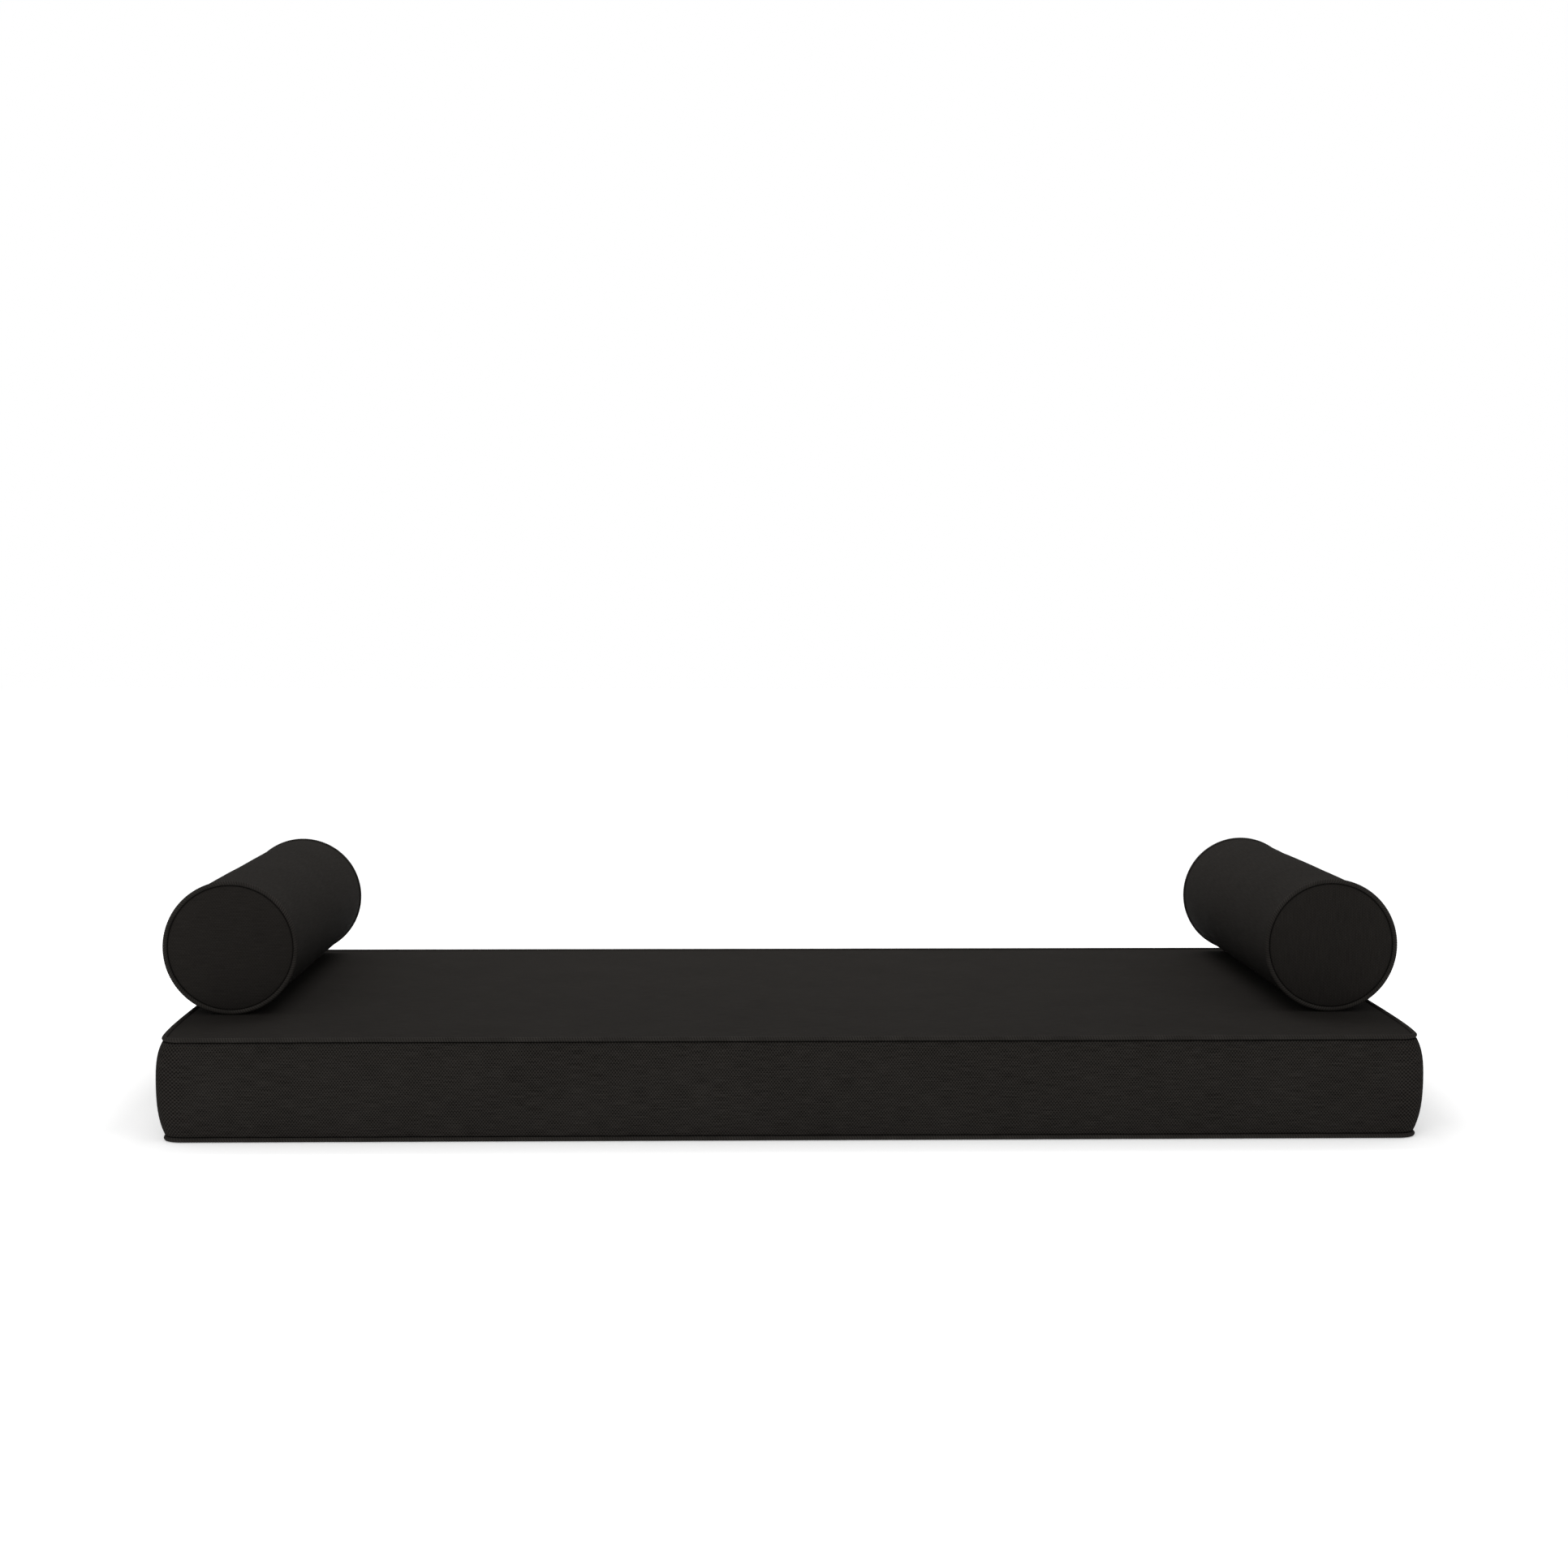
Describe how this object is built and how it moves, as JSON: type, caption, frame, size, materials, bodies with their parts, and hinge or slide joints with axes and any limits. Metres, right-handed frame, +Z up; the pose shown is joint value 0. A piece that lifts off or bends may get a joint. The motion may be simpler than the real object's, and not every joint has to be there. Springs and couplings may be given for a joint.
{
  "type": "futon mattress",
  "caption": "Box-cushion futon mattress for a daybed, canvas cover with welted seams and a back zip, with loose round bolsters lying across its ends.",
  "frame": {"origin": "middle of the mattress's underside, midway between its side seams and between its front and back seams", "axes": "+X along the mattress's length, towards the end on the right from the front; +Y to the back, where the zip is; +Z up"},
  "size_m": [1.9932, 1.0206, 0.3733],
  "materials": {
    "canvas": "matte woven canvas",
    "cotton_cord": "twisted cotton",
    "ticking": "plain cotton",
    "fibre": "soft polyester batting",
    "foam": "open-cell foam",
    "label": "blank satin ribbon",
    "zip_tape": "knitted tape",
    "zip_coil": "nylon coil",
    "zip_metal": "black enamelled zinc"
  },
  "bodies": {
    "mattress": {"top_panel": "canvas", "bottom_panel": "canvas", "main_boxing": "canvas", "back_boxing_lower": "canvas", "back_boxing_upper": "canvas", "top_welt": "canvas", "top_welt_cord": "cotton_cord", "bottom_welt": "canvas", "bottom_welt_cord": "cotton_cord", "ticking_case": "ticking", "ticking_top": "ticking", "foam_core": "foam", "lower_batting": "fibre", "upper_batting": "fibre", "side_batting": "fibre", "care_label": "label", "mattress_zip_tape_upper": "zip_tape", "mattress_zip_tape_lower": "zip_tape", "mattress_zip_teeth_upper": "zip_coil", "mattress_zip_teeth_lower": "zip_coil", "mattress_zip_end_stops": "zip_metal"},
    "mattress_zip_slider": {"mattress_zip_slider": "zip_metal"},
    "mattress_zip_pull": {"mattress_zip_pull": "zip_metal"},
    "left_bolster": {"left_bolster_tube_cover": "canvas", "left_bolster_front_disc": "canvas", "left_bolster_back_disc": "canvas", "left_bolster_front_welt": "canvas", "left_bolster_back_welt": "canvas", "left_bolster_welt_cords": "cotton_cord", "left_bolster_inner_bag": "ticking", "left_bolster_inner_bag_end": "ticking", "left_bolster_fibre_fill": "fibre", "left_bolster_zip_tape_upper": "zip_tape", "left_bolster_zip_tape_lower": "zip_tape", "left_bolster_zip_teeth_upper": "zip_coil", "left_bolster_zip_teeth_lower": "zip_coil", "left_bolster_zip_end_stops": "zip_metal"},
    "left_zip_slider": {"left_bolster_zip_slider": "zip_metal"},
    "left_zip_pull": {"left_bolster_zip_pull": "zip_metal"},
    "right_bolster": {"right_bolster_tube_cover": "canvas", "right_bolster_front_disc": "canvas", "right_bolster_back_disc": "canvas", "right_bolster_front_welt": "canvas", "right_bolster_back_welt": "canvas", "right_bolster_welt_cords": "cotton_cord", "right_bolster_inner_bag": "ticking", "right_bolster_inner_bag_end": "ticking", "right_bolster_fibre_fill": "fibre", "right_bolster_zip_tape_upper": "zip_tape", "right_bolster_zip_tape_lower": "zip_tape", "right_bolster_zip_teeth_upper": "zip_coil", "right_bolster_zip_teeth_lower": "zip_coil", "right_bolster_zip_end_stops": "zip_metal"},
    "right_zip_slider": {"right_bolster_zip_slider": "zip_metal"},
    "right_zip_pull": {"right_bolster_zip_pull": "zip_metal"}
  },
  "joints": [
    {"name": "left_bolster_lift", "type": "slide", "parent": "mattress", "child": "left_bolster", "axis": [0, 0, 1], "range_m": [0, 0.25]},
    {"name": "right_bolster_lift", "type": "slide", "parent": "mattress", "child": "right_bolster", "axis": [0, 0, 1], "range_m": [0, 0.25]},
    {"name": "mattress_zip_run", "type": "slide", "parent": "mattress", "child": "mattress_zip_slider", "axis": [-1, 0, 0], "range_m": [0, 1.6895]},
    {"name": "mattress_pull_turn", "type": "hinge", "parent": "mattress_zip_slider", "child": "mattress_zip_pull", "pos_m": [0.84475, 0.51165, 0.07995], "axis": [0, 0, -1], "range_deg": [0, 175]},
    {"name": "left_zip_run", "type": "slide", "parent": "left_bolster", "child": "left_zip_slider", "axis": [0, -1, 0], "range_m": [0, 0.5895]},
    {"name": "left_pull_turn", "type": "hinge", "parent": "left_zip_slider", "child": "left_zip_pull", "pos_m": [-1.00415, 0.39875, 0.26543], "axis": [0, 0, -1], "range_deg": [0, 175]},
    {"name": "right_zip_run", "type": "slide", "parent": "right_bolster", "child": "right_zip_slider", "axis": [0, 1, 0], "range_m": [0, 0.5895]},
    {"name": "right_pull_turn", "type": "hinge", "parent": "right_zip_slider", "child": "right_zip_pull", "pos_m": [0.98615, -0.18675, 0.26543], "axis": [0, 0, -1], "range_deg": [0, 175]}
  ]
}
